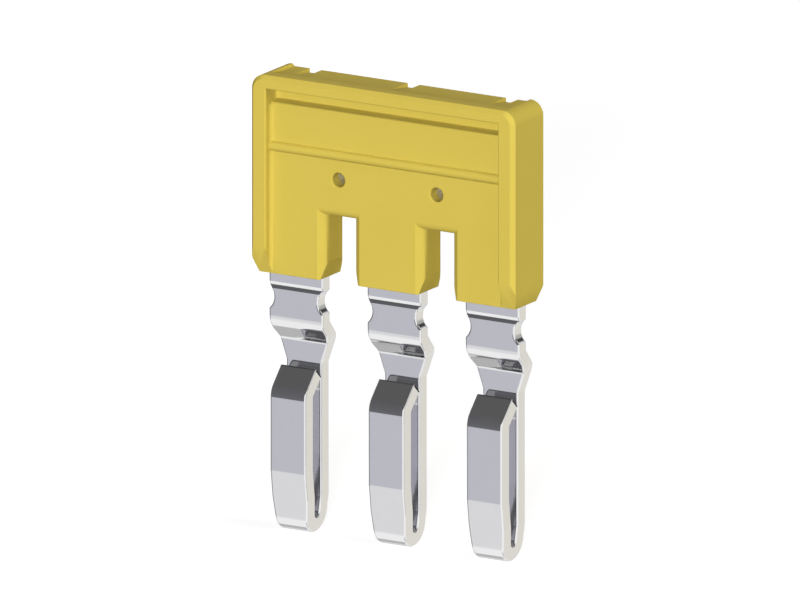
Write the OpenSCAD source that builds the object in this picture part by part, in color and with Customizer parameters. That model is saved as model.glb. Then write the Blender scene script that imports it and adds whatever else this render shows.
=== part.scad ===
// Plug-in jumper for rail terminals: a comb of hairpin spring contacts moulded into an insulating housing.
// The frame is the plugged-in one: X along the row of poles, -Y the panel side, +Z away from the terminals,
// and the origin in the middle of the housing's underside, which seats on the terminals.

/* [Row] */
// Number of poles that the jumper joins
poles = 3; // [2:1:6]
// Spacing of the poles along the rail
pitch = 5.1; // [5:0.1:6.2]

/* [Housing] */
// Housing beyond the centre of each outer pole
end_margin = 1.75; // [1.7:0.05:2.4]
// Height from the underside to the top
housing_h = 9.1; // [8.8:0.1:11]
// Thickness over the rims, front to back
housing_t = 2.8; // [2.6:0.1:3.4]
// Radius of the two top corners, seen from the front
corner_r = 0.75; // [0.5:0.05:1]
// Rounding of the outer edges, front and back
edge_r = 0.3; // [0.15:0.05:0.4]
// Width of the proud rim down each side
side_rim_w = 0.75; // [0.6:0.05:0.9]
// Height of the proud rim along the top
top_rim_h = 0.6; // [0.45:0.05:0.75]
// Thickness of the panel inside the rims
panel_t = 1.8; // [1.6:0.1:2.2]
// Height over which the rims slope down to the panel at the underside
rim_lead_h = 1.26; // [0.8:0.02:1.8]

/* [Panel features] */
// Height of the gripping groove under the top rim
groove_h = 0.67; // [0.5:0.01:0.9]
// Thickness of the web left between the front and back grooves
groove_web_t = 0.8; // [0.6:0.05:1.2]
// Height of the bead's middle above the underside
bead_z = 5.82; // [5.5:0.02:6.4]
// Radius of the half-round bead
bead_r = 0.22; // [0.15:0.01:0.3]
// Height of the locating holes above the underside
hole_z = 4.7; // [4.5:0.05:5]
// Diameter of the locating holes
hole_d = 0.64; // [0.4:0.02:0.9]
// Width of the bevel round each locating hole
hole_bevel = 0.08; // [0.04:0.01:0.15]

/* [Legs] */
// Width of the slot between two legs
slot_w = 1.55; // [1.3:0.05:1.7]
// Height of the slots above the underside
slot_h = 3; // [2.4:0.1:3.2]
// Rounding of the slots' edges, front and back
slot_edge_r = 0.35; // [0.15:0.05:0.45]
// Width of the lead-in bevel on the sides of the legs
lead_w = 0.2; // [0.1:0.02:0.3]
// Height of the lead-in bevel on the sides of the legs
lead_h = 0.65; // [0.4:0.05:0.9]

/* [Top] */
// Lip left at each end of the top's recess, which is open at the back
recess_lip_w = 0.66; // [0.5:0.02:1]
// Land left along the front of the recess
recess_land_w = 0.8; // [0.6:0.05:1]
// Depth of the recess
recess_d = 0.16; // [0.08:0.01:0.2]
// Width of the notch over each pole
notch_w = 0.63; // [0.4:0.01:0.9]
// Fall of the notches below the recess, from the middle of the top to its back edge
notch_fall = 0.2; // [0.1:0.01:0.25]

/* [Comb strip] */
// Thickness of the strip
strip_t = 0.68; // [0.55:0.01:0.75]
// Width of the contacts where they leave the housing
shank_w = 2.8; // [2.5:0.02:2.86]
// Width of the hairpin legs
leg_w = 1.84; // [1.6:0.02:2]
// Width of the hairpin at its lowest point
tip_w = 1.55; // [1.2:0.05:1.6]
// Height of the bus bar inside the housing
bar_h = 2; // [1.6:0.1:2.1]
// Gap between the comb and the plastic moulded round it
insert_clearance = 0.01; // [0.005:0.005:0.03]

/* [Contact shape] */
// Length of the contacts below the housing
contact_drop = 11.93; // [11.6:0.01:13]
// Middle of the scored line across the front, below the housing
score_drop = 0.76; // [0.68:0.01:0.84]
// Height of the scored line
score_h = 0.3; // [0.2:0.01:0.34]
// Depth of the scored line
score_depth = 0.08; // [0.04:0.01:0.1]
// Middle of the side notches below the housing
side_notch_drop = 1.33; // [1.2:0.01:1.45]
// Height of the side notches
side_notch_h = 1.06; // [0.8:0.02:1.2]
// Depth of the side notches
side_notch_depth = 0.25; // [0.15:0.01:0.3]
// First bend, towards the back, below the housing
back_bend_drop = 2.34; // [2.2:0.01:2.4]
// Second bend, back to the upright, below the housing
valley_drop = 3.16; // [3.1:0.01:3.4]
// Inner radius of the bends
bend_inner_r = 0.22; // [0.1:0.01:0.26]
// Gap between the two legs of the hairpin
leg_gap = 0.72; // [0.64:0.01:0.8]
// Start of the width's taper to the hairpin, below the housing
taper_drop = 2.86; // [2.6:0.02:3]
// End of the width's taper to the hairpin, below the housing
taper_end_drop = 4.25; // [4:0.05:4.5]
// Start of the width's taper to the tip, below the housing
tip_taper_drop = 10.3; // [9.8:0.05:10.8]
// Start of the rear leg's lean towards the tip, below the housing
rear_lean_drop = 10.35; // [10:0.05:10.5]
// Forward shift of the rear leg at the tip
rear_lean = 0.075; // [0.04:0.005:0.1]
// Start of the front leg's lean towards the tip, below the housing
front_lean_drop = 9.13; // [8.6:0.01:9.6]
// Backward shift of the front leg at the tip
front_lean = 0.335; // [0.28:0.005:0.36]
// Knee where the front leg turns to its free end, below the housing
knee_drop = 5.49; // [5.3:0.01:6]
// Angle of the free end from the upright
free_end_angle = 43; // [36:1:46]
// Length of the free end's middle line, from the knee
free_end_l = 1.22; // [1.1:0.01:1.26]
// Gap between the free end and the rear leg
free_end_gap = 0.03; // [0.02:0.01:0.08]

/* [Hidden] */
$fn = 48;

// How far cuts run past the surface that they open
cut = 1;
// Largest turn between two points along a bend
bend_step = 6;

row_w = (poles - 1) * pitch;
housing_w = row_w + 2 * end_margin;
pole_x = [for (i = [0 : poles - 1]) i * pitch - row_w / 2];
slot_x = [for (i = [0 : poles - 2]) (i + 0.5) * pitch - row_w / 2];

bar_w = row_w + shank_w;
bar_top = hole_z + bar_h / 2;
bar_bottom = hole_z - bar_h / 2;

rear_y = (leg_gap + strip_t) / 2;
front_y = -rear_y;
bend_r = bend_inner_r + strip_t / 2;
tip_z = strip_t / 2 - contact_drop;
tip_rear_y = rear_y - rear_lean;
tip_front_y = front_y + front_lean;
rear_lean_angle = atan2(rear_lean, -tip_z - rear_lean_drop);
front_lean_angle = atan2(front_lean, -tip_z - front_lean_drop);
// The two halves of the U-turn meet at its lowest point
tip_r = (tip_rear_y - tip_front_y) / (tan(45 - rear_lean_angle / 2) + tan(45 - front_lean_angle / 2));
free_way = [sin(free_end_angle), cos(free_end_angle)];
free_end = [front_y, -knee_drop] + free_way * free_end_l;
free_corner = free_end - left_of(free_way) * strip_t / 2;
free_limit_y = leg_gap / 2 - free_end_gap;
// The free end's inner corner is cut back where it would come too near the rear leg
free_corner_points = free_corner[0] > free_limit_y
    ? [
        free_end - left_of(free_way) * (free_limit_y - free_end[0]) / cos(free_end_angle),
        free_corner - free_way * (free_corner[0] - free_limit_y) / sin(free_end_angle)
    ]
    : [free_corner];
side_notch_r = (pow(side_notch_h / 2, 2) + pow(side_notch_depth, 2)) / (2 * side_notch_depth);

// Middle line of one contact in the Y-Z plane, each corner with the radius of its bend
contact_path = [
    [[0, bar_top], 0],
    [[0, -back_bend_drop], bend_r],
    [[rear_y, -valley_drop], bend_r],
    [[rear_y, -rear_lean_drop], bend_r],
    [[tip_rear_y, tip_z], tip_r],
    [[tip_front_y, tip_z], tip_r],
    [[front_y, -front_lean_drop], bend_r],
    [[front_y, -knee_drop], bend_r],
    [free_end, 0]
];

function unit(v) = v / norm(v);
function left_of(v) = [-v[1], v[0]];
function turned(v, angle) = [v[0] * cos(angle) - v[1] * sin(angle), v[0] * sin(angle) + v[1] * cos(angle)];
function turn_between(a, b) = atan2(a[0] * b[1] - a[1] * b[0], a * b);
function reversed(list) = [for (i = [len(list) - 1 : -1 : 0]) list[i]];

// Points round one bend at corner q, offset to the left of the middle line
function bend(p, q, s, r, offset) =
    let (
        a = unit(q - p),
        angle = turn_between(a, unit(s - q)),
        steps = max(2, ceil(abs(angle) / bend_step)),
        start = q - a * r * tan(abs(angle) / 2),
        centre = start + left_of(a) * sign(angle) * r
    )
    [for (i = [0 : steps])
        let (across = left_of(turned(a, angle * i / steps)))
        centre + across * (offset - sign(angle) * r)];

// One face of a bent strip whose middle line is the given path
function strip_face(path, offset) =
    let (
        last = len(path) - 1,
        first_way = unit(path[1][0] - path[0][0]),
        last_way = unit(path[last][0] - path[last - 1][0])
    )
    concat(
        [path[0][0] + left_of(first_way) * offset],
        [for (i = [1 : last - 1]) each bend(path[i - 1][0], path[i][0], path[i + 1][0], path[i][1], offset)],
        [path[last][0] + left_of(last_way) * offset]
    );

// Turns a Y-Z outline into a solid along X, centred on the middle of the row
module along_x(length) {
    rotate([90, 0, 90])
        linear_extrude(length, center = true)
            children();
}

// Turns an X-Z outline into a solid along Y, centred on the strip's mid-plane
module along_y(length) {
    rotate([90, 0, 0])
        linear_extrude(length, center = true)
            children();
}

module front_and_back() {
    children();
    mirror([0, 1, 0])
        children();
}

// Rectangle with four round corners
module rounded_rectangle(w, h, r) {
    square([w - 2 * r, h], center = true);
    square([w, h - 2 * r], center = true);
    for (x = [-1, 1], y = [-1, 1])
        translate([x * (w / 2 - r), y * (h / 2 - r)])
            circle(r);
}

// Upper or outer half of the housing's edge section, from a corner's centre outwards
module edge_section() {
    intersection() {
        rounded_rectangle(2 * corner_r, housing_t, edge_r);
        translate([0, -housing_t / 2])
            square([corner_r, housing_t]);
    }
}

// Plate with round top corners and every outer edge rounded
module rounded_plate() {
    corner_x = housing_w / 2 - corner_r;
    corner_z = housing_h - corner_r;
    linear_extrude(corner_z)
        rounded_rectangle(housing_w, housing_t, edge_r);
    translate([0, 0, corner_z])
        along_x(2 * corner_x)
            rotate(90)
                edge_section();
    for (side = [0, 1])
        mirror([side, 0, 0])
            translate([corner_x, 0, corner_z])
                rotate([90, 0, 0])
                    rotate_extrude(angle = 90)
                        edge_section();
}

// Sunk field inside the rims, front side
module panel_recess() {
    field_w = housing_w - 2 * side_rim_w;
    field_h = housing_h - top_rim_h;
    translate([-field_w / 2, -housing_t / 2 - cut, -cut])
        cube([field_w, (housing_t - panel_t) / 2 + cut, field_h + cut]);
}

// Groove that a tool grips to pull the jumper, front side
module gripping_groove() {
    field_w = housing_w - 2 * side_rim_w;
    translate([-field_w / 2, -housing_t / 2 - cut, housing_h - top_rim_h - groove_h])
        cube([field_w, (housing_t - groove_web_t) / 2 + cut, groove_h]);
}

// Half-round bead across the panel, front and back
module bead() {
    field_w = housing_w - 2 * side_rim_w;
    front_and_back()
        translate([0, -panel_t / 2, bead_z])
            along_x(field_w)
                circle(bead_r);
}

// Slope that brings the side rims down to the panel, front side
module rim_lead_in() {
    rim_y = housing_t / 2;
    panel_y = panel_t / 2;
    along_x(housing_w + 2 * cut)
        polygon([
            [-rim_y - cut, rim_lead_h],
            [-rim_y, rim_lead_h],
            [-panel_y, 0],
            [-panel_y, -cut],
            [-rim_y - cut, -cut]
        ]);
}

// Gap between two legs, with bevelled mouth
module slot() {
    half_w = slot_w / 2;
    along_y(housing_t + 2 * cut)
        polygon([
            [-half_w - lead_w, -cut],
            [half_w + lead_w, -cut],
            [half_w + lead_w, 0],
            [half_w, lead_h],
            [half_w, slot_h],
            [-half_w, slot_h],
            [-half_w, lead_h],
            [-half_w - lead_w, 0]
        ]);
}

// Material taken off to round a slot's two sides and ceiling, front side
module slot_edge_rounding() {
    face_y = -panel_t / 2;
    round_w = slot_w + 2 * slot_edge_r;
    intersection() {
        translate([0, 0, -cut])
            linear_extrude(slot_h + slot_edge_r + cut)
                difference() {
                    translate([-round_w / 2, face_y - cut])
                        square([round_w, slot_edge_r + cut]);
                    for (side = [-1, 1])
                        translate([side * round_w / 2, face_y + slot_edge_r])
                            circle(slot_edge_r);
                }
        along_x(round_w)
            difference() {
                translate([face_y - cut, -cut])
                    square([slot_edge_r + cut, slot_h + slot_edge_r + cut]);
                translate([face_y + slot_edge_r, slot_h + slot_edge_r])
                    circle(slot_edge_r);
            }
    }
}

// Bevel on the outer side of the last leg at each end
module end_lead_in() {
    half_w = housing_w / 2;
    along_y(housing_t + 2 * cut)
        polygon([
            [half_w - lead_w, -cut],
            [half_w + cut, -cut],
            [half_w + cut, lead_h],
            [half_w, lead_h],
            [half_w - lead_w, 0]
        ]);
}

// Shallow recess in the top, between the lips and behind the land
module top_recess() {
    recess_w = housing_w - 2 * recess_lip_w;
    translate([-recess_w / 2, recess_land_w - housing_t / 2, housing_h - recess_d])
        cube([recess_w, housing_t + cut, recess_d + cut]);
}

// Notch that falls from the middle of the recess to its back edge
module top_notch() {
    half_t = housing_t / 2;
    floor_z = housing_h - recess_d;
    along_x(notch_w)
        polygon([
            [0, floor_z],
            [half_t + cut, floor_z - notch_fall * (half_t + cut) / half_t],
            [half_t + cut, housing_h + cut],
            [0, housing_h + cut]
        ]);
}

// Hole of one locating pin of the mould, through front and back walls, with bevelled mouths
module locating_hole() {
    rotate([90, 0, 0])
        cylinder(h = panel_t + 2 * cut, d = hole_d, center = true);
    front_and_back()
        translate([0, -panel_t / 2, 0])
            rotate([-90, 0, 0])
                cylinder(h = hole_bevel, d1 = hole_d + 2 * hole_bevel, d2 = hole_d);
}

// Space that the comb fills inside the housing
module comb_cavity() {
    cavity_t = strip_t + 2 * insert_clearance;
    translate([0, 0, hole_z])
        cube([bar_w + 2 * insert_clearance, cavity_t, bar_h + 2 * insert_clearance], center = true);
    for (x = pole_x)
        translate([x - shank_w / 2 - insert_clearance, -cavity_t / 2, -cut])
            cube([shank_w + 2 * insert_clearance, cavity_t, hole_z + cut]);
}

module insulating_housing() {
    color([0.84, 0.75, 0.33])
        difference() {
            union() {
                difference() {
                    rounded_plate();
                    front_and_back()
                        panel_recess();
                }
                bead();
            }
            front_and_back() {
                gripping_groove();
                rim_lead_in();
            }
            for (x = slot_x)
                translate([x, 0, 0]) {
                    slot();
                    front_and_back()
                        slot_edge_rounding();
                    translate([0, 0, hole_z])
                        locating_hole();
                }
            end_lead_in();
            mirror([1, 0, 0])
                end_lead_in();
            top_recess();
            for (x = pole_x)
                translate([x, 0, 0])
                    top_notch();
            comb_cavity();
        }
}

// Outline of one contact seen from the front
module contact_outline() {
    difference() {
        polygon([
            [-shank_w / 2, bar_top],
            [-shank_w / 2, -taper_drop],
            [-leg_w / 2, -taper_end_drop],
            [-leg_w / 2, -tip_taper_drop],
            [-tip_w / 2, -contact_drop],
            [tip_w / 2, -contact_drop],
            [leg_w / 2, -tip_taper_drop],
            [leg_w / 2, -taper_end_drop],
            [shank_w / 2, -taper_drop],
            [shank_w / 2, bar_top]
        ]);
        for (side = [-1, 1])
            translate([side * (shank_w / 2 - side_notch_depth + side_notch_r), -side_notch_drop])
                circle(side_notch_r);
    }
}

// Bent section of one contact seen from the side, with the scored line in its front
module contact_section() {
    outer_face = strip_face(contact_path, strip_t / 2);
    inner_face = reversed(strip_face(contact_path, -strip_t / 2));
    front = -strip_t / 2;
    difference() {
        polygon(concat(
            outer_face,
            free_corner_points,
            [for (i = [1 : len(inner_face) - 1]) inner_face[i]]
        ));
        polygon([
            [front - score_depth, -score_drop + score_h],
            [front + score_depth, -score_drop],
            [front - score_depth, -score_drop - score_h]
        ]);
    }
}

// One folded contact: its bent section cut to its outline seen from the front
module contact() {
    intersection() {
        along_x(shank_w)
            contact_section();
        along_y(2 * (rear_y + strip_t))
            contact_outline();
    }
}

module contact_comb() {
    color([0.75, 0.75, 0.78])
        union() {
            translate([0, 0, hole_z])
                cube([bar_w, strip_t, bar_h], center = true);
            for (x = pole_x)
                translate([x, 0, 0])
                    contact();
        }
}

insulating_housing();
contact_comb();
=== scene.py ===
"""Looks of the terminal jumper: a moulded housing round a comb of folded contacts.

The pieces are modelled in millimetres in the CAD frame, X along the poles, -Y the panel side and
+Z away from the terminals, and are scaled to metres when they are finished.
"""
import math

import bmesh
import bpy
from mathutils import Matrix, Vector


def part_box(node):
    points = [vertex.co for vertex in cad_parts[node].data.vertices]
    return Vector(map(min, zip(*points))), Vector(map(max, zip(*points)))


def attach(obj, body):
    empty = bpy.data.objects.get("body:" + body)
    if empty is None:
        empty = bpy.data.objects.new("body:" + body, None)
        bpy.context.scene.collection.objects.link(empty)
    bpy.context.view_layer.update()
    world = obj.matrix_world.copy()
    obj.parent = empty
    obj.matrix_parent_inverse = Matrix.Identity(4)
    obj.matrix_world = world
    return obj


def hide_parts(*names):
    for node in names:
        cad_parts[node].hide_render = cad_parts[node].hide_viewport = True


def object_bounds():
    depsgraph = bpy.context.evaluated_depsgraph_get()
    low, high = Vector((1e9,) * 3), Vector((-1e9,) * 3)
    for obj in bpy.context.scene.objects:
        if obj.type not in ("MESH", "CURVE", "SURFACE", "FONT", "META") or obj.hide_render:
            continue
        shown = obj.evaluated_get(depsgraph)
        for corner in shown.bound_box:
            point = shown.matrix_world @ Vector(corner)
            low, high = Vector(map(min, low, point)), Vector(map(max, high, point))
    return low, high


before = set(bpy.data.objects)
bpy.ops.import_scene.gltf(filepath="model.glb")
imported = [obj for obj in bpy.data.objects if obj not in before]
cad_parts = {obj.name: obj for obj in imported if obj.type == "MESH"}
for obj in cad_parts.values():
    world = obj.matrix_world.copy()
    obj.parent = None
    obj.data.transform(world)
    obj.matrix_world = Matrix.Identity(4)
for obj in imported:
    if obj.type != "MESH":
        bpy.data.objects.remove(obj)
cad_low, cad_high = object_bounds()

MM = 0.001

# Sizes that the frame gives, in millimetres
housing_low, housing_high = (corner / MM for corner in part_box("insulating_housing"))
comb_low, comb_high = (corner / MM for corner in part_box("contact_comb"))
HOUSING_W = housing_high.x - housing_low.x
HOUSING_T = housing_high.y - housing_low.y
HOUSING_H = housing_high.z - housing_low.z
BAR_W = comb_high.x - comb_low.x
BAR_TOP = comb_high.z
CONTACT_DROP = -comb_low.z

# Row
PITCH = 5.1
POLES = 3
POLE_X = [(i - (POLES - 1) / 2) * PITCH for i in range(POLES)]
SLOT_X = [(i - (POLES - 2) / 2) * PITCH for i in range(POLES - 1)]

# Housing
CORNER_R = 0.66
EDGE_BEVEL_W = 0.18
EDGE_BEVEL_D = 0.205
SIDE_RIM_W = 0.815
TOP_RIM_H = 0.6
PANEL_T = 1.8
RIM_LEAD_H = 1.21
RIM_EDGE_R = 0.09
RIM_FILLET_R = 0.2
GROOVE_H = 0.67
GROOVE_WEB_T = 0.8
GROOVE_EDGE_R = 0.1
GROOVE_FILLET_R = 0.07
GROOVE_RISE = 0.07
BEAD_Z = 5.82
BEAD_R = 0.22
BEAD_FOOT_R = 0.07
HOLE_Z = 4.67
HOLE_R = 0.32
HOLE_MOUTH_R = 0.08
HOLE_WALL_T = 0.03
SLOT_W = 1.43
SLOT_H = 2.95
SLOT_EDGE_R = 0.36
SLOT_BEVEL_W = 0.38
SLOT_BEVEL_ANGLE = 36.5
SLOT_LEAD_W = 0.26
SLOT_LEAD_H = 0.78
END_LEAD_W = 0.2
END_LEAD_H = 0.6
UNDER_EDGE_R = 0.03
UNDER_Z = -0.05
RECESS_LIP_W = 0.66
RECESS_LAND_W = 0.8
RECESS_D = 0.16
NOTCH_W = 0.63
NOTCH_FALL = 0.2
FIELD_W = HOUSING_W - 2 * SIDE_RIM_W
FIELD_TOP = HOUSING_H - TOP_RIM_H
GROOVE_Z = FIELD_TOP - GROOVE_H

# Comb
STRIP_T = 0.68
SHANK_W = 2.8
LEG_W = 1.84
TIP_W = 1.55
STRIP_EDGE_R = 0.1
LOOP_EDGE_R = 0.03
BAR_H = 2.0
SCORE_DROP = 0.73
SCORE_H = 0.32
SCORE_DEPTH = 0.08
SIDE_NOTCH_DROP = 1.29
SIDE_NOTCH_H = 1.06
SIDE_NOTCH_DEPTH = 0.25
BACK_BEND_DROP = 2.3
VALLEY_DROP = 3.16
BEND_INNER_R = 0.22
LEG_GAP = 0.72
TAPER_DROP = 2.86
TAPER_END_DROP = 4.25
TIP_TAPER_DROP = 10.3
REAR_LEAN_DROP = 10.35
REAR_LEAN = 0.075
FRONT_LEAN_DROP = 9.04
FRONT_LEAN = 0.335
KNEE_DROP = 5.49
FREE_END_ANGLE = math.radians(43)
FREE_END_L = 1.22
FREE_CLEARANCE = 0.005
FREE_LIMIT_Y = LEG_GAP / 2 - FREE_CLEARANCE
CAVITY_CLEARANCE = 0.01

# Fineness of the meshes
CORNER_STEPS = 20
EDGE_STEPS = 9
HOLE_STEPS = 64
BEND_STEP = math.radians(4)
STRIP_STEP = 0.06
STRIP_EDGE_STEPS = 6
WELD_DISTANCE = 1e-4

# Shading: angles from which edges are sharp, and the least size of a face that has to shade flat
HOUSING_SHARP_ANGLE = math.radians(28)
COMB_SHARP_ANGLE = math.radians(20)
WIDE_FLAT_W = 0.4
NORMAL_WEIGHT = 100

# Cosine from which two headings count as the same
SAME_HEADING = 0.999

# How far cutting tools run past what they open
CUT = 1.0


def arc(centre, radius, start, end, steps):
    """Points of an arc in a plane, angles in degrees, both ends included."""
    points = []
    for i in range(steps + 1):
        angle = math.radians(start + (end - start) * i / steps)
        points.append((centre[0] + radius * math.cos(angle), centre[1] + radius * math.sin(angle)))
    return points


def to_object(name, bm):
    """A new object from a mesh in millimetres."""
    bmesh.ops.recalc_face_normals(bm, faces=bm.faces)
    mesh = bpy.data.meshes.new(name)
    bm.to_mesh(mesh)
    bm.free()
    obj = bpy.data.objects.new(name, mesh)
    bpy.context.scene.collection.objects.link(obj)
    return obj


def prism(outline, axis, start, end):
    """A solid of a plane outline run along X (outline in Y, Z), Y (in X, Z) or Z (in X, Y)."""
    place = {
        "x": lambda u, v, w: (w, u, v),
        "y": lambda u, v, w: (u, w, v),
        "z": lambda u, v, w: (u, v, w),
    }[axis]
    bm = bmesh.new()
    rings = [[bm.verts.new(place(u, v, w)) for u, v in outline] for w in (start, end)]
    count = len(outline)
    for i in range(count):
        j = (i + 1) % count
        bm.faces.new((rings[0][i], rings[0][j], rings[1][j], rings[1][i]))
    bm.faces.new(rings[0])
    bm.faces.new(rings[1])
    return to_object("tool", bm)


def apply_modifiers(obj):
    """Replaces the mesh of obj by what its modifiers make of it."""
    graph = bpy.context.evaluated_depsgraph_get()
    mesh = bpy.data.meshes.new_from_object(obj.evaluated_get(graph))
    old = obj.data
    obj.modifiers.clear()
    obj.data = mesh
    bpy.data.meshes.remove(old)


def combine(obj, operation, *tools, solver="MANIFOLD"):
    """Cuts the tools from obj, joins them to it or keeps what they share, and removes them."""
    for tool in tools:
        modifier = obj.modifiers.new("combine", "BOOLEAN")
        modifier.operation = operation
        modifier.solver = solver
        modifier.object = tool
        apply_modifiers(obj)
        mesh = tool.data
        bpy.data.objects.remove(tool)
        bpy.data.meshes.remove(mesh)
    return obj


def mirrored(outline):
    """An outline in Y, Z for the back of the housing, from the one for its front."""
    return [(-y, z) for y, z in outline]


def rounded_plate():
    """The housing's stock: a plate with round top corners and every outer edge bevelled."""
    half_w = HOUSING_W / 2
    corner_x = half_w - CORNER_R
    corner_z = HOUSING_H - CORNER_R

    def outline(inset):
        right = arc((corner_x, corner_z), CORNER_R - inset, 0, 90, CORNER_STEPS)
        left = arc((-corner_x, corner_z), CORNER_R - inset, 90, 180, CORNER_STEPS)
        return [(half_w - inset, UNDER_Z), *right, *left, (inset - half_w, UNDER_Z)]

    half_t = HOUSING_T / 2
    sections = [(EDGE_BEVEL_W, half_t), (0, half_t - EDGE_BEVEL_D)]
    sections += [(inset, -y) for inset, y in reversed(sections)]
    bm = bmesh.new()
    rings = [[bm.verts.new((x, y, z)) for x, z in outline(inset)] for inset, y in sections]
    for a, b in zip(rings, rings[1:]):
        for i in range(len(a) - 1):
            bm.faces.new((a[i], a[i + 1], b[i + 1], b[i]))
    bm.faces.new(rings[0])
    bm.faces.new(rings[-1])
    bm.faces.new([ring[0] for ring in rings] + [ring[-1] for ring in reversed(rings)])
    return to_object("housing", bm)


def field_plan(depth_y):
    """Outline in X, Y of a cut between the front's side rims, with rounded mouth and filleted floor."""
    rim_y = -HOUSING_T / 2
    half_w = FIELD_W / 2
    edge, fillet = RIM_EDGE_R, RIM_FILLET_R
    right = [
        (half_w + edge, rim_y - CUT),
        *arc((half_w + edge, rim_y + edge), edge, 270, 180, EDGE_STEPS),
        *arc((half_w - fillet, depth_y - fillet), fillet, 0, 90, EDGE_STEPS),
    ]
    return right + [(-x, y) for x, y in reversed(right)]


def field_tools(side):
    """What is taken out inside the rims on one side, -1 for the front: panel recess and groove."""
    rim_y = -HOUSING_T / 2
    panel_y = -PANEL_T / 2
    groove_y = -GROOVE_WEB_T / 2
    fillet = GROOVE_FILLET_R
    top_edge = [
        *arc((rim_y + RIM_EDGE_R, FIELD_TOP + RIM_EDGE_R), RIM_EDGE_R, 270, 180, EDGE_STEPS),
        (rim_y - CUT, FIELD_TOP + RIM_EDGE_R),
    ]
    recess = [(rim_y - CUT, -CUT), (0, -CUT), (0, FIELD_TOP), *top_edge]
    edge_centre = (panel_y + GROOVE_EDGE_R, GROOVE_Z - GROOVE_EDGE_R)
    groove = [
        (rim_y - CUT, edge_centre[1]),
        *arc(edge_centre, GROOVE_EDGE_R, 180, 90, EDGE_STEPS),
        *arc((groove_y - fillet, GROOVE_Z + GROOVE_RISE + fillet), fillet, -90, 0, EDGE_STEPS),
        *arc((groove_y - fillet, FIELD_TOP - fillet), fillet, 0, 90, EDGE_STEPS),
        *top_edge,
    ]
    tools = []
    for section, depth_y in ((recess, panel_y), (groove, groove_y)):
        plan = field_plan(depth_y)
        if side > 0:
            plan = [(x, -y) for x, y in plan]
            section = mirrored(section)
        tools.append(combine(
            prism(section, "x", -HOUSING_W, HOUSING_W),
            "INTERSECT",
            prism(plan, "z", -2 * CUT, HOUSING_H + CUT),
        ))
    return tools


def bead_tool(side):
    """Half-round bead across the panel, with a blended foot along each edge."""
    panel_y = PANEL_T / 2
    foot = BEAD_FOOT_R
    reach = math.sqrt((BEAD_R + foot) ** 2 - foot ** 2)
    lean = math.degrees(math.atan2(foot, reach))
    upper = arc((panel_y + foot, reach), foot, -180, -90 - lean, EDGE_STEPS // 2)
    lower = [(y, -z) for y, z in reversed(upper)]
    crest = arc((panel_y, 0), BEAD_R, 90 - lean, lean - 90, 2 * EDGE_STEPS)
    outline = [(panel_y - foot, reach), *upper, *crest, *lower, (panel_y - foot, -reach)]
    outline = [(side * y, BEAD_Z + z) for y, z in outline]
    return prism(outline, "x", -FIELD_W / 2, FIELD_W / 2)


def rounded_foot(foot, above, inward):
    """Points from the underside up round the edge at a foot, for a wall that rises to a point above it.

    The plastic lies on the inward side of the wall, 1 towards larger and -1 towards smaller values.
    """
    rise = math.atan2(above[1] - foot[1], inward * (above[0] - foot[0]))
    setback = UNDER_EDGE_R * math.tan((math.pi - rise) / 2)
    centre = (setback, UNDER_EDGE_R)
    points = arc(centre, UNDER_EDGE_R, -90, math.degrees(rise) - 270, EDGE_STEPS // 2)
    return [(foot[0] + inward * u, foot[1] + v) for u, v in points]


def slot_tool(x):
    """Gap between two legs, with lead-in bevels at its mouth."""
    half_w = SLOT_W / 2
    mouth = rounded_foot((half_w + SLOT_LEAD_W, UNDER_Z), (half_w, SLOT_LEAD_H), 1)
    right = [(mouth[0][0], -CUT), *mouth, (half_w, SLOT_LEAD_H), (half_w, SLOT_H)]
    outline = right + [(-u, z) for u, z in reversed(right)]
    return prism([(x + u, z) for u, z in outline], "y", -HOUSING_T, HOUSING_T)


def slot_edge(bevel_angle):
    """How a slot's edge is broken: distances from the slot's wall and depths below the panel's face.

    A bevel runs into the rounding, unless its angle is 0.
    """
    r = SLOT_EDGE_R
    bend = arc((r, 0), r, 90 + bevel_angle, 180, EDGE_STEPS)
    points = [(u, bend[0][1] - v) for u, v in bend]
    if bevel_angle:
        fall = (SLOT_BEVEL_W - points[0][0]) * math.tan(math.radians(bevel_angle))
        points = [(SLOT_BEVEL_W, 0)] + [(u, d + fall) for u, d in points]
    return points


def slot_edge_tool(x, side):
    """What is taken off to break a slot's two sides and ceiling on one face of the panel."""
    face_y = -PANEL_T / 2
    wall = slot_edge(SLOT_BEVEL_ANGLE if side < 0 else 0)
    ceiling = slot_edge(0)
    right = [(SLOT_W / 2 + u, face_y + d) for u, d in wall]
    right = [(right[0][0], face_y - CUT), *right, (right[-1][0], 0)]
    plan = right + [(-u, y) for u, y in reversed(right)]
    section = [(face_y + d, SLOT_H + u) for u, d in ceiling]
    section = [(face_y - CUT, section[0][1]), *section, (0, SLOT_H), (0, -CUT), (face_y - CUT, -CUT)]
    if side > 0:
        plan = [(u, -y) for u, y in plan]
        section = mirrored(section)
    return combine(
        prism([(x + u, y) for u, y in plan], "z", -2 * CUT, SLOT_H + CUT),
        "INTERSECT",
        prism(section, "x", x - SLOT_W, x + SLOT_W),
    )


def rim_lead_tool(side):
    """Slope that brings the side rims down to the panel at the underside."""
    rim_y = HOUSING_T / 2
    panel_y = PANEL_T / 2
    foot = rounded_foot((panel_y, UNDER_Z), (panel_y, RIM_LEAD_H), -1)
    outline = [
        (rim_y + CUT, RIM_LEAD_H),
        (rim_y, RIM_LEAD_H),
        *reversed(foot),
        (foot[0][0], -CUT),
        (rim_y + CUT, -CUT),
    ]
    return prism([(side * y, z) for y, z in outline], "x", -HOUSING_W, HOUSING_W)


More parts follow.
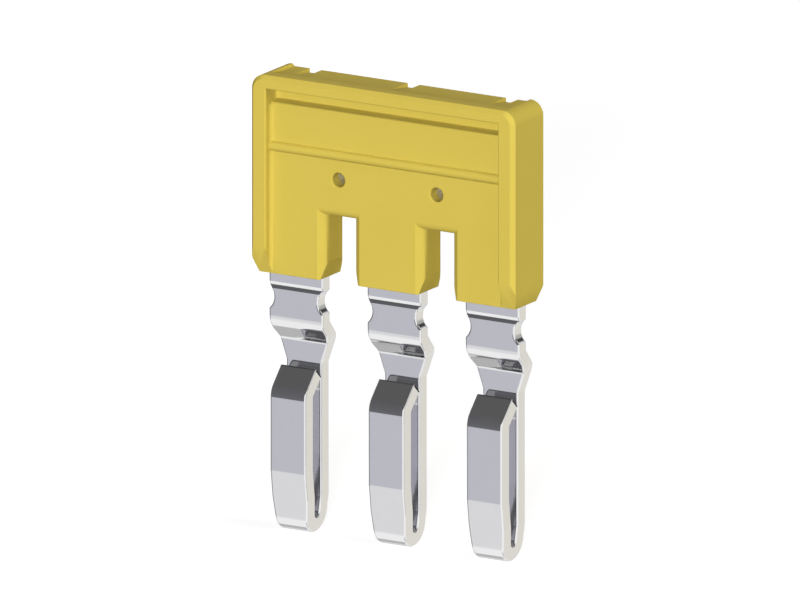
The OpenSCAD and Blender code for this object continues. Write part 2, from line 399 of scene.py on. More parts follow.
def end_lead_tool(end):
    """Bevel on the outer side of the last leg."""
    half_w = HOUSING_W / 2
    foot = rounded_foot((half_w - END_LEAD_W, UNDER_Z), (half_w, END_LEAD_H), -1)
    outline = [
        (foot[0][0], -CUT),
        (half_w + CUT, -CUT),
        (half_w + CUT, END_LEAD_H),
        (half_w, END_LEAD_H),
        *reversed(foot),
    ]
    return prism([(end * x, z) for x, z in outline], "y", -HOUSING_T, HOUSING_T)


def top_recess_tool():
    """Shallow recess in the top, between the lips and behind the land, open at the back."""
    low = HOUSING_H - RECESS_D
    front = RECESS_LAND_W - HOUSING_T / 2
    outline = [(front, low), (HOUSING_T, low), (HOUSING_T, HOUSING_H + CUT), (front, HOUSING_H + CUT)]
    half_w = HOUSING_W / 2 - RECESS_LIP_W
    return prism(outline, "x", -half_w, half_w)


def top_notch_tool(x):
    """Notch that falls from the middle of the recess to its back edge."""
    low = HOUSING_H - RECESS_D
    fall = NOTCH_FALL / (HOUSING_T / 2)
    outline = [
        (0, low),
        (HOUSING_T, low - fall * HOUSING_T),
        (HOUSING_T, HOUSING_H + CUT),
        (0, HOUSING_H + CUT),
    ]
    return prism(outline, "x", x - NOTCH_W / 2, x + NOTCH_W / 2)


def turned_solid(bm, profile, x, side):
    """Solid turned round a locating hole's axis, from a closed outline of radii and distances along Y."""
    rings = []
    for radius, y in profile:
        ring = []
        for i in range(HOLE_STEPS):
            angle = 2 * math.pi * i / HOLE_STEPS
            spot = (x + radius * math.cos(angle), side * y, HOLE_Z + radius * math.sin(angle))
            ring.append(bm.verts.new(spot))
        rings.append(ring)
    for a, b in zip(rings, rings[1:]):
        for i in range(HOLE_STEPS):
            j = (i + 1) % HOLE_STEPS
            bm.faces.new((a[i], a[j], b[j], b[i]))
    return rings


def locating_hole_tool(x, side):
    """Round hole left by a locating pin of the mould, with a rounded mouth, down to the bus bar."""
    face_y = PANEL_T / 2
    mouth = HOLE_MOUTH_R
    wide = HOLE_R + HOLE_WALL_T
    profile = [(wide, 0), (wide, face_y - mouth)]
    profile += arc((HOLE_R + mouth, face_y - mouth), mouth, 180, 90, EDGE_STEPS)
    profile += [(HOLE_R + mouth, face_y + mouth)]
    bm = bmesh.new()
    rings = turned_solid(bm, profile, x, side)
    bm.faces.new(rings[0])
    bm.faces.new(rings[-1])
    return to_object("tool", bm)


def make_hole_walls():
    """Walls of the locating holes, which the bus bar at their bottom mirrors."""
    inside, outside = HOLE_R, HOLE_R + HOLE_WALL_T
    low, high = STRIP_T / 2 + CAVITY_CLEARANCE, PANEL_T / 2 - HOLE_MOUTH_R
    profile = [(inside, low), (inside, high), (outside, high), (outside, low), (inside, low)]
    bm = bmesh.new()
    for x in SLOT_X:
        for side in (-1, 1):
            turned_solid(bm, profile, x, side)
    return finish_mesh(to_object("hole_walls", bm), HOUSING_SHARP_ANGLE)


def bus_bar(half_t):
    """The straight bar that joins the contacts, with half its thickness."""
    low, high = HOLE_Z - BAR_H / 2, BAR_TOP
    section = [(-half_t, low), (half_t, low), (half_t, high), (-half_t, high)]
    return prism(section, "x", -BAR_W / 2, BAR_W / 2)


def comb_cavity_tools():
    """Space that the comb fills inside the housing."""
    half_t = STRIP_T / 2 + CAVITY_CLEARANCE
    tools = [bus_bar(half_t)]
    deep = [(-half_t, -CUT), (half_t, -CUT), (half_t, HOLE_Z), (-half_t, HOLE_Z)]
    for x in POLE_X:
        tools.append(prism(deep, "x", x - SHANK_W / 2, x + SHANK_W / 2))
    return tools


def finish_mesh(obj, sharp_angle):
    """Welds and scales a mesh to metres, and shades its flats flat and its roundings smooth."""
    bm = bmesh.new()
    bm.from_mesh(obj.data)
    bmesh.ops.remove_doubles(bm, verts=bm.verts, dist=WELD_DISTANCE)
    bmesh.ops.dissolve_degenerate(bm, edges=bm.edges, dist=WELD_DISTANCE)
    bm.to_mesh(obj.data)
    bm.free()
    obj.data.transform(Matrix.Scale(MM, 4))
    obj.data.shade_smooth()
    obj.data.set_sharp_from_angle(angle=sharp_angle)
    weighted = obj.modifiers.new("weighted_normals", "WEIGHTED_NORMAL")
    weighted.keep_sharp = True
    weighted.weight = NORMAL_WEIGHT
    return obj


def make_housing():
    """The moulded housing, without the inner skin of its locating holes."""
    housing = rounded_plate()
    sides = (-1, 1)
    combine(housing, "DIFFERENCE", *(tool for side in sides for tool in field_tools(side)))
    combine(housing, "UNION", *(bead_tool(side) for side in sides))
    combine(housing, "DIFFERENCE", *(slot_tool(x) for x in SLOT_X))
    combine(housing, "DIFFERENCE", *(slot_edge_tool(x, side) for x in SLOT_X for side in sides))
    combine(housing, "DIFFERENCE", *(rim_lead_tool(side) for side in sides))
    combine(housing, "DIFFERENCE", *(end_lead_tool(end) for end in sides))
    combine(housing, "DIFFERENCE", top_recess_tool())
    combine(housing, "DIFFERENCE", *(top_notch_tool(x) for x in POLE_X))
    combine(housing, "DIFFERENCE", *(locating_hole_tool(x, side) for x in SLOT_X for side in sides))
    combine(housing, "DIFFERENCE", *comb_cavity_tools())
    housing.name = "housing_body"
    return finish_mesh(housing, HOUSING_SHARP_ANGLE)


def left_of(v):
    """A plane vector turned a quarter to the left."""
    return Vector((-v.y, v.x))


def turned(v, angle):
    """A plane vector turned left by an angle in radians."""
    c, s = math.cos(angle), math.sin(angle)
    return Vector((v.x * c - v.y * s, v.x * s + v.y * c))


def turn_at(before, corner, after):
    """Heading into a corner and the signed angle that the line turns by there."""
    a = (corner - before).normalized()
    b = (after - corner).normalized()
    return a, math.atan2(a.x * b.y - a.y * b.x, a.dot(b))


def contact_path():
    """Corners of one contact's middle line in Y, Z, each with the radius of its bend.

    The line runs down from the bus bar, round the tip and up to the free end, so the left face is the
    back of the shank and the outside of the loop.
    """
    rear_y = (LEG_GAP + STRIP_T) / 2
    front_y = -rear_y
    bend_r = BEND_INNER_R + STRIP_T / 2
    tip_z = STRIP_T / 2 - CONTACT_DROP
    tip_rear_y = rear_y - REAR_LEAN
    tip_front_y = front_y + FRONT_LEAN
    rear_angle = math.atan2(REAR_LEAN, -tip_z - REAR_LEAN_DROP)
    front_angle = math.atan2(FRONT_LEAN, -tip_z - FRONT_LEAN_DROP)
    quarter = math.pi / 4
    tip_reach = math.tan(quarter - rear_angle / 2) + math.tan(quarter - front_angle / 2)
    tip_r = (tip_rear_y - tip_front_y) / tip_reach
    free_end_y = front_y + FREE_END_L * math.sin(FREE_END_ANGLE)
    free_end_z = -KNEE_DROP + FREE_END_L * math.cos(FREE_END_ANGLE)
    path = [
        ((0, HOLE_Z), 0),
        ((0, -BACK_BEND_DROP), bend_r),
        ((rear_y, -VALLEY_DROP), bend_r),
        ((rear_y, -REAR_LEAN_DROP), bend_r),
        ((tip_rear_y, tip_z), tip_r),
        ((tip_front_y, tip_z), tip_r),
        ((front_y, -FRONT_LEAN_DROP), bend_r),
        ((front_y, -KNEE_DROP), bend_r),
        ((free_end_y, free_end_z), 0),
    ]
    return [(Vector(corner), radius) for corner, radius in path]


def face_pair(middle, across):
    """Points on the left and right faces of the strip, either side of a point of its middle line."""
    return middle + across * (STRIP_T / 2), middle - across * (STRIP_T / 2)


def bend_pairs(before, corner, after, radius):
    """Pairs of face points round one bend."""
    heading, angle = turn_at(before, corner, after)
    side = math.copysign(1, angle)
    steps = max(3, math.ceil(abs(angle) / BEND_STEP))
    centre = corner - heading * radius * math.tan(abs(angle) / 2) + left_of(heading) * side * radius
    pairs = []
    for i in range(steps + 1):
        across = left_of(turned(heading, angle * i / steps))
        pairs.append(face_pair(centre - across * side * radius, across))
    return pairs


def crossing(a, b, axis, value):
    """Share of the way from a to b at which one coordinate passes a value, or 0 if it hardly changes."""
    change = b[axis] - a[axis]
    return (value - a[axis]) / change if abs(change) > STRIP_STEP else 0


def straight_shares(start, end):
    """Where rings go between two bends: at even steps, and where the strip's form has a corner."""
    longest = max((b - a).length for a, b in zip(start, end))
    steps = math.ceil(longest / STRIP_STEP)
    shares = {i / steps for i in range(1, steps)}
    key_drops = [
        SCORE_DROP - SCORE_H / 2,
        SCORE_DROP,
        SCORE_DROP + SCORE_H / 2,
        SIDE_NOTCH_DROP - SIDE_NOTCH_H / 2,
        SIDE_NOTCH_DROP + SIDE_NOTCH_H / 2,
        TAPER_DROP,
        TAPER_END_DROP,
        TIP_TAPER_DROP,
    ]
    for a, b in zip(start, end):
        shares |= {crossing(a, b, 1, -drop) for drop in key_drops}
        shares.add(crossing(a, b, 0, FREE_LIMIT_Y))
    return sorted(share for share in shares if 0 < share < 1)


def strip_stations():
    """Pairs of points on the left and right faces, all along one contact."""
    path = contact_path()
    points = [corner for corner, _ in path]
    runs = [bend_pairs(*points[i - 1 : i + 2], path[i][1]) for i in range(1, len(path) - 1)]
    last_way = (points[-1] - points[-2]).normalized()
    runs.append([face_pair(points[-1], left_of(last_way))])
    first_way = (points[1] - points[0]).normalized()
    stations = [face_pair(points[0], left_of(first_way))]
    for run in runs:
        start, end = stations[-1], run[0]
        if (end[0] - start[0]).length < WELD_DISTANCE:
            stations.pop()
        for share in straight_shares(start, end):
            stations.append(tuple(a.lerp(b, share) for a, b in zip(start, end)))
        stations += run
    return stations


def scored(left, right):
    """A pair of face points with the front one sunk where the scored line crosses the shank."""
    sink = SCORE_DEPTH * (1 - abs(right.y + SCORE_DROP) / (SCORE_H / 2))
    return left, right + Vector((max(0, sink), 0))


def cleared(left, right):
    """A pair of face points of the free end, with the inner one kept clear of the rear leg."""
    if right.x <= FREE_LIMIT_Y:
        return left, right
    return left, left.lerp(right, (FREE_LIMIT_Y - left.x) / (right.x - left.x))


def half_width(z):
    """Half the width of the strip at a height, from its outline seen from the front."""
    notch_r = ((SIDE_NOTCH_H / 2) ** 2 + SIDE_NOTCH_DEPTH ** 2) / (2 * SIDE_NOTCH_DEPTH)
    drop = -z
    if drop <= TAPER_DROP:
        off = drop - SIDE_NOTCH_DROP
        if abs(off) >= SIDE_NOTCH_H / 2:
            return SHANK_W / 2
        return SHANK_W / 2 - SIDE_NOTCH_DEPTH + notch_r - math.sqrt(notch_r ** 2 - off ** 2)
    if drop <= TAPER_END_DROP:
        share = (drop - TAPER_DROP) / (TAPER_END_DROP - TAPER_DROP)
        return SHANK_W / 2 + (LEG_W - SHANK_W) / 2 * share
    if drop <= TIP_TAPER_DROP:
        return LEG_W / 2
    share = (drop - TIP_TAPER_DROP) / (CONTACT_DROP - TIP_TAPER_DROP)
    return LEG_W / 2 + (TIP_W - LEG_W) / 2 * share


def strip_ring(left, right, inset):
    """Section of the strip between a point on its left face and one on its right face, with rounded edges.

    Those of the right face get crisper round the loop, where it becomes the inside of the front leg.
    """
    middle = (left + right) / 2
    across = (left - right).normalized()
    half_t = (left - right).length / 2 - inset
    right_r = LOOP_EDGE_R + (STRIP_EDGE_R - LOOP_EDGE_R) * (1 + across.x) / 2
    points = []
    for end, side, start in ((1, 1, 0), (-1, 1, 90), (-1, -1, 180), (1, -1, 270)):
        half_w = half_width((left if side > 0 else right).y) - inset
        r = STRIP_EDGE_R if side > 0 else right_r
        centre = (end * (half_w - r), side * (half_t - r))
        for u, v in arc(centre, r, start, start + 90, STRIP_EDGE_STEPS):
            spot = middle + across * v
            points.append((u, spot.x, spot.y))
    return points


def make_contact(bm, x):
    """One folded contact, with rounded edges and a rounded free end."""
    stations = strip_stations()
    heading = (stations[-1][0] - stations[-2][0]).normalized()
    rings = []
    for left, right in stations[:-1]:
        way = left_of(right - left).normalized()
        on_free_end = way.dot(heading) > SAME_HEADING
        pair = cleared(left, right) if on_free_end else scored(left, right)
        rings.append(strip_ring(*pair, 0))
    left, right = stations[-1]
    for i in range(STRIP_EDGE_STEPS + 1):
        angle = math.pi / 2 * i / STRIP_EDGE_STEPS
        back = heading * STRIP_EDGE_R * (1 - math.sin(angle))
        pair = cleared(left - back, right - back)
        rings.append(strip_ring(*pair, STRIP_EDGE_R * (1 - math.cos(angle))))
    loops = [[bm.verts.new((x + u, y, z)) for u, y, z in ring] for ring in rings]
    count = len(loops[0])
    for a, b in zip(loops, loops[1:]):
        for i in range(count):
            j = (i + 1) % count
            bm.faces.new((a[i], a[j], b[j], b[i]))
    bm.faces.new(loops[0])
    bm.faces.new(loops[-1])


def bound_flats(obj, least_w):
    """Marks where faces larger than a size in metres meet rounded edges, so that flats shade flat."""
    bm = bmesh.new()
    bm.from_mesh(obj.data)
    for edge in bm.edges:
        wide = [max(side.calc_length() for side in face.edges) > least_w for face in edge.link_faces]
        if any(wide) and not all(wide):
            edge.smooth = False
    bm.to_mesh(obj.data)
    bm.free()
    return obj


def make_comb():
    """Three folded contacts and the bus bar, in one piece."""
    bm = bmesh.new()
    for x in POLE_X:
        make_contact(bm, x)
    contacts = to_object("contact_strip", bm)
    combine(contacts, "UNION", bus_bar(STRIP_T / 2), solver="EXACT")
    return bound_flats(finish_mesh(contacts, COMB_SHARP_ANGLE), WIDE_FLAT_W * MM)


def new_material(name):
    """An empty material, with its nodes and links."""
    material = bpy.data.materials.new(name)
    material.use_nodes = True
    nodes = material.node_tree.nodes
    nodes.clear()
    return material, nodes, material.node_tree.links


def millimetre_coordinates(nodes, links):
    """Object coordinates in millimetres, so that texture scales are per millimetre."""
    where = nodes.new("ShaderNodeTexCoord")
    scaled = nodes.new("ShaderNodeVectorMath")
    scaled.operation = "SCALE"
    scaled.inputs["Scale"].default_value = 1 / MM
    links.new(where.outputs["Object"], scaled.inputs[0])
    return scaled.outputs[0]


def noise(nodes, links, vector, scale, detail=2.0, roughness=0.5):
    """Soft noise at a scale per unit of the vector."""
    texture = nodes.new("ShaderNodeTexNoise")
    texture.inputs["Scale"].default_value = scale
    texture.inputs["Detail"].default_value = detail
    texture.inputs["Roughness"].default_value = roughness
    links.new(vector, texture.inputs["Vector"])
    return texture.outputs["Fac"]


def spread(nodes, links, value, low, high):
    """A noise with the middle of its range mapped to low and high."""
    mapped = nodes.new("ShaderNodeMapRange")
    mapped.inputs["From Min"].default_value = 0.3
    mapped.inputs["From Max"].default_value = 0.7
    mapped.inputs["To Min"].default_value = low
    mapped.inputs["To Max"].default_value = high
    links.new(value, mapped.inputs["Value"])
    return mapped.outputs["Result"]


def drifting(nodes, links, where, scale, colours):
    """A colour that drifts between two."""
    tint = nodes.new("ShaderNodeMix")
    tint.data_type = "RGBA"
    tint.inputs["A"].default_value = (*colours[0], 1)
    tint.inputs["B"].default_value = (*colours[1], 1)
    links.new(noise(nodes, links, where, scale, 3.0), tint.inputs["Factor"])
    return tint.outputs["Result"]


# Moulded plastic, with scales per millimetre and depths in millimetres
PLASTIC_COLOURS = ((0.66, 0.515, 0.088), (0.70, 0.545, 0.098))
PLASTIC_IOR = 1.53
PLASTIC_SPECULAR = 0.004
PLASTIC_ROUGHNESS = (0.36, 0.44)
FLOW_SCALE = 0.45
SATIN_SCALE = 9.0
MOULD_SCALE = 24.0
MOULD_DEPTH = 0.006
MOULD_STRENGTH = 0.12


def plastic_material():
    """Satin yellow polyamide with a fine eroded mould texture and faint flow marks."""
    material, nodes, links = new_material("moulded_polyamide")
    where = millimetre_coordinates(nodes, links)
    shader = nodes.new("ShaderNodeBsdfPrincipled")
    shader.inputs["IOR"].default_value = PLASTIC_IOR
    shader.inputs["Specular IOR Level"].default_value = PLASTIC_SPECULAR
    links.new(drifting(nodes, links, where, FLOW_SCALE, PLASTIC_COLOURS), shader.inputs["Base Color"])
    satin = noise(nodes, links, where, SATIN_SCALE, 3.0)
    links.new(spread(nodes, links, satin, *PLASTIC_ROUGHNESS), shader.inputs["Roughness"])
    bump = nodes.new("ShaderNodeBump")
    bump.inputs["Strength"].default_value = MOULD_STRENGTH
    bump.inputs["Distance"].default_value = MOULD_DEPTH * MM
    links.new(noise(nodes, links, where, MOULD_SCALE, 2.0, 0.6), bump.inputs["Height"])
    links.new(bump.outputs["Normal"], shader.inputs["Normal"])
    output = nodes.new("ShaderNodeOutputMaterial")
    links.new(shader.outputs["BSDF"], output.inputs["Surface"])
    return material


# Tin plating, with scales per millimetre and depths in millimetres
TIN_COLOURS = ((0.90, 0.90, 0.908), (0.94, 0.94, 0.944))
TIN_ROUGHNESS = (0.05, 0.08)
CLOUD_SCALE = 1.3
POLISH_SCALE = 3.0
ROLLING_SCALES = (30.0, 3.0, 0.8)
ROLLING_DEPTH = 0.004
ROLLING_STRENGTH = 0.05

# Its matt grain inside the plastic, which shows at the bottom of the locating holes
MATT_ABOVE_Z = 1.0
MATT_ROUGHNESS = (0.45, 0.75)
GRAIN_SCALE = 8.0
GRAIN_DEPTH = 0.12


def tin_material():
    """Bright tin plating with the fine lines of the rolled strip under it, matt where it is moulded in."""
    material, nodes, links = new_material("tin_plating")
    where = millimetre_coordinates(nodes, links)
    shader = nodes.new("ShaderNodeBsdfPrincipled")
    shader.inputs["Metallic"].default_value = 1.0
    links.new(drifting(nodes, links, where, CLOUD_SCALE, TIN_COLOURS), shader.inputs["Base Color"])
    height = nodes.new("ShaderNodeSeparateXYZ")
    links.new(where, height.inputs["Vector"])
    moulded_in = nodes.new("ShaderNodeMath")
    moulded_in.operation = "GREATER_THAN"
    moulded_in.inputs[1].default_value = MATT_ABOVE_Z
    links.new(height.outputs["Z"], moulded_in.inputs[0])
    polish = noise(nodes, links, where, POLISH_SCALE, 4.0)
    bright = spread(nodes, links, polish, *TIN_ROUGHNESS)
    grain = noise(nodes, links, where, GRAIN_SCALE, 2.0)
    matt = spread(nodes, links, grain, *MATT_ROUGHNESS)
    roughness = nodes.new("ShaderNodeMix")
    links.new(moulded_in.outputs["Value"], roughness.inputs["Factor"])
    links.new(bright, roughness.inputs["A"])
    links.new(matt, roughness.inputs["B"])
    links.new(roughness.outputs["Result"], shader.inputs["Roughness"])
    pitting = nodes.new("ShaderNodeMath")
    pitting.operation = "MULTIPLY"
    links.new(moulded_in.outputs["Value"], pitting.inputs[0])
    links.new(grain, pitting.inputs[1])
    pits = nodes.new("ShaderNodeBump")
    pits.inputs["Strength"].default_value = 1.0
    pits.inputs["Distance"].default_value = GRAIN_DEPTH * MM
    links.new(pitting.outputs["Value"], pits.inputs["Height"])
    stretch = nodes.new("ShaderNodeMapping")
    stretch.inputs["Scale"].default_value = ROLLING_SCALES
    links.new(where, stretch.inputs["Vector"])
    bump = nodes.new("ShaderNodeBump")
    bump.inputs["Strength"].default_value = ROLLING_STRENGTH
    bump.inputs["Distance"].default_value = ROLLING_DEPTH * MM
    links.new(noise(nodes, links, stretch.outputs["Vector"], 1.0, 2.0), bump.inputs["Height"])
    links.new(pits.outputs["Normal"], bump.inputs["Normal"])
    links.new(bump.outputs["Normal"], shader.inputs["Normal"])
    output = nodes.new("ShaderNodeOutputMaterial")
    links.new(shader.outputs["BSDF"], output.inputs["Surface"])
    return material


# Camera: from the right and a little above, without perspective, as in the photograph
PHOTO_W = 800
PHOTO_H = 600
CAMERA_AZIMUTH = 31.2
CAMERA_ELEVATION = 14.4
PIXELS_PER_MM = 22.49
ORIGIN_PIXEL = (397.7, 285.15)
CAMERA_DISTANCE = 500 * MM
CAMERA_CLIP = (0.1, 10)


def towards(azimuth, elevation):
    """Unit vector out from the part, in degrees round from the front to the right and up."""
    a, e = math.radians(azimuth), math.radians(elevation)
    return Vector((math.sin(a) * math.cos(e), -math.cos(a) * math.cos(e), math.sin(e)))


def make_camera():
    """The camera, placed so that the origin falls on its pixel of the photograph."""
    back = towards(CAMERA_AZIMUTH, CAMERA_ELEVATION)
    turn = math.radians(CAMERA_AZIMUTH)
    right = Vector((math.cos(turn), math.sin(turn), 0))
    up = back.cross(right)
    aside = (PHOTO_W / 2 - ORIGIN_PIXEL[0]) / PIXELS_PER_MM * MM
    below = (PHOTO_H / 2 - ORIGIN_PIXEL[1]) / PIXELS_PER_MM * MM
    aim = right * aside - up * below
    data = bpy.data.cameras.new("camera")
    data.type = "ORTHO"
    data.ortho_scale = PHOTO_W / PIXELS_PER_MM * MM
    data.clip_start, data.clip_end = CAMERA_CLIP
    camera = bpy.data.objects.new("camera", data)
    camera.location = aim + back * CAMERA_DISTANCE
    camera.rotation_mode = "QUATERNION"
    camera.rotation_quaternion = (-back).to_track_quat("-Z", "Y")
    bpy.context.scene.collection.objects.link(camera)
    bpy.context.scene.camera = camera


# Studio
FLOOR_HALF = 600 * MM
FLOOR_WHITE = 0.655
FLOOR_SHADE = 0.8
AMBIENT = 0.116
WORLD_MAP_SIZE = 64

# Lamps: azimuth round from the front to the right, elevation, strength and softness
LAMPS = {
    "key": (25, 10, 3.08, 12),
    "side": (90, 35, 0.93, 40),
    "top": (0, 90, 0.15, 100),
    "back": (205, 2, 2.2, 40),
}

# What the metal sees at each elevation, in degrees, towards six sides of the studio
BACK_LEFT_VIEW = [
    (-90, (0.82, 0.82, 0.82)),
    (-30, (0.67, 0.67, 0.70)),
    (-15, (0.47, 0.46, 0.52)),
    (0, (0.44, 0.43, 0.49)),
    (40, (0.46, 0.45, 0.51)),
    (90, (0.15, 0.15, 0.16)),
]
LEFT_VIEW = [
    (-90, (0.82, 0.82, 0.82)),
    (-59, (0.474, 0.469, 0.469)),
    (-30, (0.38, 0.38, 0.39)),
    (-15, (0.24, 0.24, 0.255)),
    (6, (0.24, 0.24, 0.265)),
    (10, (0.40, 0.40, 0.44)),
    (25, (0.40, 0.40, 0.44)),
    (40, (0.24, 0.24, 0.25)),
    (57, (0.24, 0.24, 0.25)),
    (90, (0.12, 0.12, 0.12)),
]
FRONT_LEFT_VIEW = [
    (-90, (0.82, 0.82, 0.82)),
    (-60, (0.90, 0.90, 0.90)),
    (-42, (0.90, 0.90, 0.90)),
    (-28, (0.38, 0.38, 0.39)),
    (-15, (0.20, 0.20, 0.21)),
    (10, (0.12, 0.12, 0.12)),
    (90, (0.096, 0.096, 0.096)),
]
FRONT_VIEW = [
    (-90, (0.82, 0.82, 0.82)),
    (-60, (0.90, 0.90, 0.90)),
    (-40, (0.90, 0.90, 0.90)),
    (-30, (0.732, 0.732, 0.742)),
    (-21, (0.713, 0.713, 0.732)),
    (-18.5, (0.522, 0.526, 0.579)),
    (-12, (0.522, 0.526, 0.579)),
    (-10, (0.135, 0.135, 0.148)),
    (54, (0.10, 0.10, 0.105)),
    (90, (0.096, 0.096, 0.096)),
]
FRONT_RIGHT_VIEW = [
    (-90, (0.82, 0.82, 0.82)),
    (-72, (0.82, 0.82, 0.82)),
    (-66, (0.51, 0.51, 0.51)),
    (-53, (0.51, 0.51, 0.51)),
    (-46, (0.91, 0.91, 0.91)),
    (20, (0.91, 0.91, 0.91)),
    (27, (0.115, 0.115, 0.115)),
    (90, (0.10, 0.10, 0.10)),
]
BACK_RIGHT_VIEW = [
    (-90, (0.82, 0.82, 0.82)),
    (-40, (0.82, 0.815, 0.785)),
    (-30, (0.766, 0.746, 0.69)),
    (-15, (0.746, 0.722, 0.66)),
    (-5, (0.742, 0.722, 0.67)),
    (3, (0.435, 0.435, 0.416)),
    (12, (0.435, 0.435, 0.416)),
    (17, (0.058, 0.058, 0.058)),
    (26, (0.058, 0.058, 0.058)),
    (30, (0.72, 0.72, 0.71)),
    (38, (0.72, 0.72, 0.71)),
    (60, (0.19, 0.19, 0.19)),
    (90, (0.10, 0.10, 0.10)),
]
# Each view and the azimuths between which it takes over from the one before
VIEWS = [
    (BACK_LEFT_VIEW, None),
    (LEFT_VIEW, (-135, -120)),
    (FRONT_LEFT_VIEW, (-96, -86)),
    (FRONT_VIEW, (-58, -42)),
    (FRONT_RIGHT_VIEW, (5, 18)),
    (BACK_RIGHT_VIEW, (105, 120)),
]


def floor_material():
    """White for the camera, with the part's soft shadow."""
    material, nodes, links = new_material("studio_floor")
    white = nodes.new("ShaderNodeEmission")
    white.inputs["Strength"].default_value = FLOOR_WHITE
    shade = nodes.new("ShaderNodeBsdfDiffuse")
    shade.inputs["Color"].default_value = (FLOOR_SHADE, FLOOR_SHADE, FLOOR_SHADE, 1)
    both = nodes.new("ShaderNodeAddShader")
    links.new(white.outputs["Emission"], both.inputs[0])
    links.new(shade.outputs["BSDF"], both.inputs[1])
    output = nodes.new("ShaderNodeOutputMaterial")
    links.new(both.outputs["Shader"], output.inputs["Surface"])
    return material


def make_floor():
    """Ground under the tips, which the metal and plastic see as part of the world's lower half."""
    half = FLOOR_HALF
    z = cad_low.z
    mesh = bpy.data.meshes.new("floor")
    corners = [(-half, -half, z), (half, -half, z), (half, half, z), (-half, half, z)]
    mesh.from_pydata(corners, [], [(0, 1, 2, 3)])
    floor = bpy.data.objects.new("floor", mesh)
    floor.data.materials.append(floor_material())
    floor.visible_diffuse = False
    floor.visible_glossy = False
    floor.visible_transmission = False
    floor.visible_shadow = False
    bpy.context.scene.collection.objects.link(floor)


def elevation_ramp(nodes, links, height, stops):
    """Colours by elevation, from the height of a direction mapped to 0 at the bottom and 1 at the top."""
    ramp = nodes.new("ShaderNodeValToRGB")
    elements = ramp.color_ramp.elements
    while len(elements) > 1:
        elements.remove(elements[-1])
    for i, (elevation, colour) in enumerate(stops):
        position = (1 + math.sin(math.radians(elevation))) / 2
        element = elements[0] if i == 0 else elements.new(position)
        element.position = position
        element.color = (*colour, 1)
    links.new(height, ramp.inputs["Fac"])
    return ramp.outputs["Color"]


def share_between(nodes, links, value, start, end):
    """0 up to a start, 1 from an end on and a smooth step in between."""
    share = nodes.new("ShaderNodeMapRange")
    share.interpolation_type = "SMOOTHSTEP"
    share.inputs["From Min"].default_value = start
    share.inputs["From Max"].default_value = end
    links.new(value, share.inputs["Value"])
    return share.outputs["Result"]


def blend(nodes, links, share, a, b):
    """Colour a up to a share of 0 and colour b from a share of 1."""
    mix = nodes.new("ShaderNodeMix")
    mix.data_type = "RGBA"
    links.new(share, mix.inputs["Factor"])
    links.new(a, mix.inputs["A"])
    links.new(b, mix.inputs["B"])
    return mix.outputs["Result"]


def studio_colour(nodes, links):
    """What the metal sees in each direction of the studio."""
    split = nodes.new("ShaderNodeSeparateXYZ")
    links.new(nodes.new("ShaderNodeTexCoord").outputs["Generated"], split.inputs["Vector"])
    height = nodes.new("ShaderNodeMapRange")
    height.inputs["From Min"].default_value = -1
    links.new(split.outputs["Z"], height.inputs["Value"])
    forward = nodes.new("ShaderNodeMath")
    forward.operation = "MULTIPLY"
    forward.inputs[1].default_value = -1
    links.new(split.outputs["Y"], forward.inputs[0])
    azimuth = nodes.new("ShaderNodeMath")
    azimuth.operation = "ARCTAN2"
    links.new(split.outputs["X"], azimuth.inputs[0])
    links.new(forward.outputs["Value"], azimuth.inputs[1])
    seen = None
    for stops, takeover in VIEWS:
        colour = elevation_ramp(nodes, links, height.outputs["Result"], stops)
        if takeover:
            start, end = (math.radians(angle) for angle in takeover)
            share = share_between(nodes, links, azimuth.outputs["Value"], start, end)
            colour = blend(nodes, links, share, seen, colour)
        seen = colour
    return seen


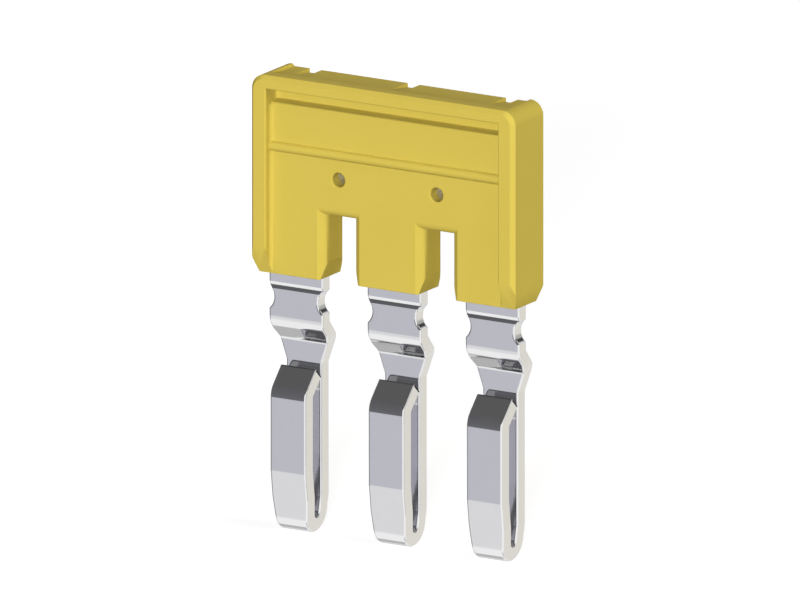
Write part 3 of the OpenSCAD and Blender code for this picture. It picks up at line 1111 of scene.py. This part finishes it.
def make_world():
    """White for the camera, a studio for reflections and a low even light for the rest."""
    world = bpy.data.worlds.new("studio")
    bpy.context.scene.world = world
    world.use_nodes = True
    world.cycles.sampling_method = "MANUAL"
    world.cycles.sample_map_resolution = WORLD_MAP_SIZE
    nodes, links = world.node_tree.nodes, world.node_tree.links
    nodes.clear()
    studio = nodes.new("ShaderNodeBackground")
    links.new(studio_colour(nodes, links), studio.inputs["Color"])
    even = nodes.new("ShaderNodeBackground")
    even.inputs["Strength"].default_value = AMBIENT
    white = nodes.new("ShaderNodeBackground")
    path = nodes.new("ShaderNodeLightPath")
    reflected = nodes.new("ShaderNodeMath")
    reflected.operation = "MAXIMUM"
    links.new(path.outputs["Is Glossy Ray"], reflected.inputs[0])
    links.new(path.outputs["Is Transmission Ray"], reflected.inputs[1])
    unseen = nodes.new("ShaderNodeMixShader")
    links.new(reflected.outputs["Value"], unseen.inputs["Fac"])
    links.new(even.outputs["Background"], unseen.inputs[1])
    links.new(studio.outputs["Background"], unseen.inputs[2])
    whole = nodes.new("ShaderNodeMixShader")
    links.new(path.outputs["Is Camera Ray"], whole.inputs["Fac"])
    links.new(unseen.outputs["Shader"], whole.inputs[1])
    links.new(white.outputs["Background"], whole.inputs[2])
    output = nodes.new("ShaderNodeOutputWorld")
    links.new(whole.outputs["Shader"], output.inputs["Surface"])


def make_lamp(name, azimuth, elevation, strength, softness):
    """A distant soft lamp that lights surfaces but isn't itself reflected."""
    data = bpy.data.lights.new(name, "SUN")
    data.energy = strength
    data.angle = math.radians(softness)
    lamp = bpy.data.objects.new(name, data)
    lamp.rotation_mode = "QUATERNION"
    lamp.rotation_quaternion = towards(azimuth, elevation).to_track_quat("Z", "Y")
    lamp.visible_glossy = False
    bpy.context.scene.collection.objects.link(lamp)


def dress(piece, node, material):
    """Gives a piece its finish and lets it stand for its CAD node."""
    piece.data.materials.clear()
    piece.data.materials.append(material)
    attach(piece, "root")
    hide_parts(node)


plastic = plastic_material()
housing = make_housing()
housing.visible_glossy = False
dress(housing, "insulating_housing", plastic)
dress(make_hole_walls(), "insulating_housing", plastic)
dress(make_comb(), "contact_comb", tin_material())
make_camera()
make_floor()
make_world()
for lamp_name, setting in LAMPS.items():
    make_lamp(lamp_name, *setting)
scene = bpy.context.scene
scene.view_settings.view_transform = "Standard"
scene.cycles.max_bounces = 16
scene.cycles.diffuse_bounces = 1
scene.cycles.glossy_bounces = 5
